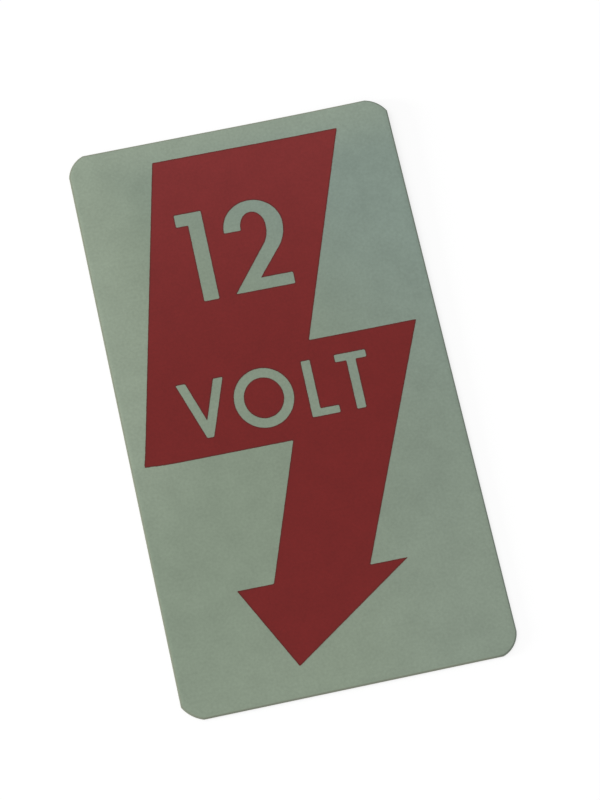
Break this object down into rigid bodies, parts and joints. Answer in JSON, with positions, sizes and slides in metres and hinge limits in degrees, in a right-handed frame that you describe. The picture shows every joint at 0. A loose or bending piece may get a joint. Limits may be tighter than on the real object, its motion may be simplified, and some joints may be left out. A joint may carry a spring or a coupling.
{
  "type": "voltage sticker",
  "caption": "Thin die-cut foil sticker with rounded corners, a satin silver-grey face and a dark red printed lightning-bolt arrow that points to its lower end.",
  "frame": {"origin": "middle of the sheet's back, on the surface it lies on", "axes": "+X to the right of the print, +Y towards the sheet's top end, +Z out of the printed face"},
  "size_m": [0.03, 0.054, 0.0005],
  "materials": {
    "foil": "satin, faintly cloudy silver-grey foil; dull adhesive on the back",
    "ink": "satin dark red screen-printed ink"
  },
  "bodies": {
    "root": {"foil_label": "foil", "arrow_print": "ink"}
  },
  "joints": []
}
